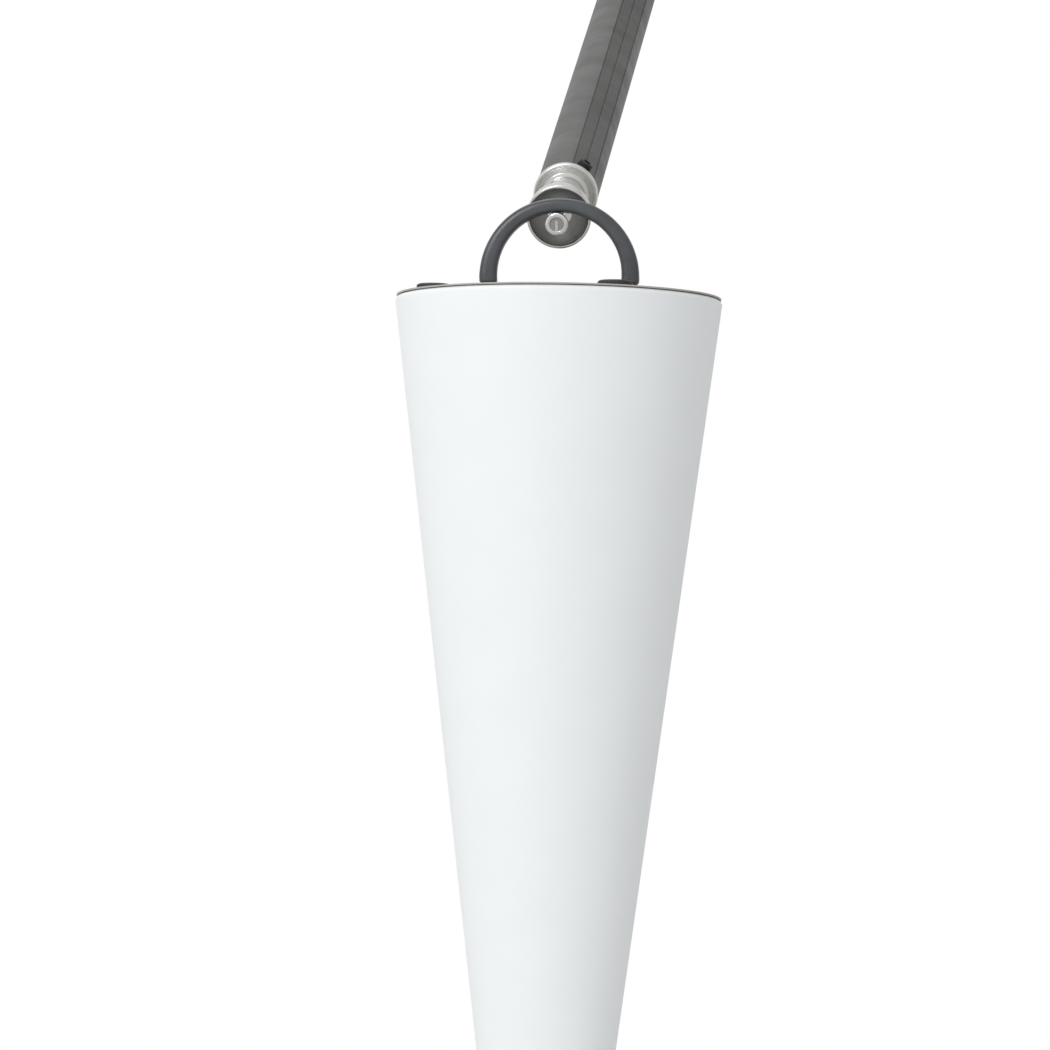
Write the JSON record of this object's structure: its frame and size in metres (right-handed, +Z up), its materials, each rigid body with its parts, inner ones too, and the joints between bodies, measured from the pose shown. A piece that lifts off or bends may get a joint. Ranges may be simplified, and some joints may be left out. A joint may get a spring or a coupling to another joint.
{
  "type": "arc floor lamp",
  "caption": "Arc floor lamp: weighted base, swivelling telescopic arc arm and a tilting jib that carries a tapered cordless lantern by its ring handle.",
  "frame": {"origin": "centre of the rubber pad's underside, on the floor, on the mast's axis", "axes": "+Z up along the mast; the arc leaves the mast towards -X; the jib points towards -Y"},
  "size_m": [1.4077, 1.2911, 2.183],
  "materials": {
    "rubber_black": "matt",
    "cast_black": "powder coated",
    "coat_black": "satin powder coat",
    "tube_grey": "satin",
    "jib_grey": "anodised, satin",
    "steel": "satin",
    "screw_black": "black oxide",
    "fitting_silver": "turned, satin anodised",
    "stud_chrome": "polished",
    "bush_white": "matt",
    "brass": "turned",
    "knob_black": "fine grain",
    "sleeve_black": "satin",
    "shade_white": "satin opal",
    "lid_grey": "satin",
    "gasket": "matt",
    "plastic_white": "matt",
    "plastic_black": "satin",
    "cell_wrap": "shrink wrap",
    "board_green": "solder mask",
    "led_yellow": "matt",
    "alu_inner": "mill finish"
  },
  "bodies": {
    "base": {"floor_pad": "rubber_black", "base_plate": "cast_black", "mast_socket": "coat_black", "socket_screws": "steel", "swivel_bushes": "bush_white", "thrust_washer": "brass"},
    "lock": {"lock_stem": "steel", "lock_knob": "knob_black"},
    "mast": {"mast_tube": "tube_grey", "mast_foot_plug": "plastic_black", "mast_top_bush": "plastic_black", "clamp_collar": "coat_black", "clamp_bolt": "steel", "clamp_nut": "steel"},
    "clamp": {"clamp_lever": "knob_black"},
    "arm": {"post_tube": "tube_grey", "post_glide": "bush_white", "arc_spigot": "alu_inner", "arc_tube": "tube_grey", "arc_screws": "screw_black", "arc_end_fitting": "fitting_silver"},
    "swivel": {"swivel_pin": "steel", "swivel_washers": "brass", "swivel_hub": "coat_black", "clutch_discs": "brass", "tilt_bolt": "steel"},
    "tilt_lock": {"tilt_knob": "knob_black"},
    "jib": {"jib_root": "fitting_silver", "jib_tube": "jib_grey", "jib_screws": "screw_black", "tip_spool": "fitting_silver", "tip_cup": "fitting_silver", "stud_washer": "stud_chrome", "hook_stud": "stud_chrome"},
    "ring": {"ring_core": "steel", "ring_sleeve": "sleeve_black"},
    "lantern": {"diffuser": "shade_white", "rim_ring": "plastic_white", "lid_gasket": "gasket", "lid": "lid_grey", "lid_knobs": "knob_black", "knob_studs": "steel", "ring_lugs": "coat_black", "lug_screws": "steel", "pivot_pins": "steel", "chassis_plate": "alu_inner", "chassis_screws": "steel", "battery_holder": "plastic_black", "battery_cells": "cell_wrap", "driver_board": "board_green", "led_column": "alu_inner", "column_nut": "brass", "led_strips": "led_yellow", "column_spacer": "plastic_white", "charge_socket": "plastic_black", "switch_body": "plastic_black", "port_hinge_pin": "steel"},
    "button": {"power_button": "knob_black"},
    "port_flap": {"port_cover": "rubber_black"}
  },
  "joints": [
    {"name": "lock_turn", "type": "hinge", "parent": "base", "child": "lock", "pos_m": [0, -0.0341, 0.083], "axis": [0, -1, 0], "range_deg": [0, 180]},
    {"name": "mast_swivel", "type": "hinge", "parent": "base", "child": "mast", "pos_m": [0, 0, 0.033], "axis": [0, 0, 1], "range_deg": [-170, 170]},
    {"name": "clamp_turn", "type": "hinge", "parent": "mast", "child": "clamp", "pos_m": [0.0165, -0.04005, 0.955], "axis": [1, 0, 0], "range_deg": [-120, 0]},
    {"name": "arm_height", "type": "slide", "parent": "mast", "child": "arm", "axis": [0, 0, 1], "range_m": [-0.25, 0.1]},
    {"name": "jib_swivel", "type": "hinge", "parent": "arm", "child": "swivel", "pos_m": [-1.06006, 0, 2.05446], "axis": [0, 0, 1], "range_deg": [-150, 60]},
    {"name": "tilt_knob_turn", "type": "hinge", "parent": "swivel", "child": "tilt_lock", "pos_m": [-1.02906, 0, 1.98996], "axis": [1, 0, 0], "range_deg": [0, 180]},
    {"name": "jib_tilt", "type": "hinge", "parent": "swivel", "child": "jib", "pos_m": [-1.06006, 0, 1.98996], "axis": [1, 0, 0], "range_deg": [-20, 25]},
    {"name": "ring_swing", "type": "hinge", "parent": "jib", "child": "ring", "pos_m": [-1.06006, -0.94147, 1.65287], "axis": [0, 1, 0], "range_deg": [-25, 25]},
    {"name": "lantern_tilt", "type": "hinge", "parent": "ring", "child": "lantern", "pos_m": [-1.05816, -0.94147, 1.60674], "axis": [1, 0, 0], "range_deg": [-28, 28]},
    {"name": "power_press", "type": "slide", "parent": "lantern", "child": "button", "axis": [0, 0, -1], "range_m": [0, 0.0025], "stiffness_N_per_m": 400, "springref_m": -0.001},
    {"name": "port_open", "type": "hinge", "parent": "lantern", "child": "port_flap", "pos_m": [-1.05816, -0.91147, 1.60574], "axis": [-1, 0, 0], "range_deg": [0, 95]}
  ]
}
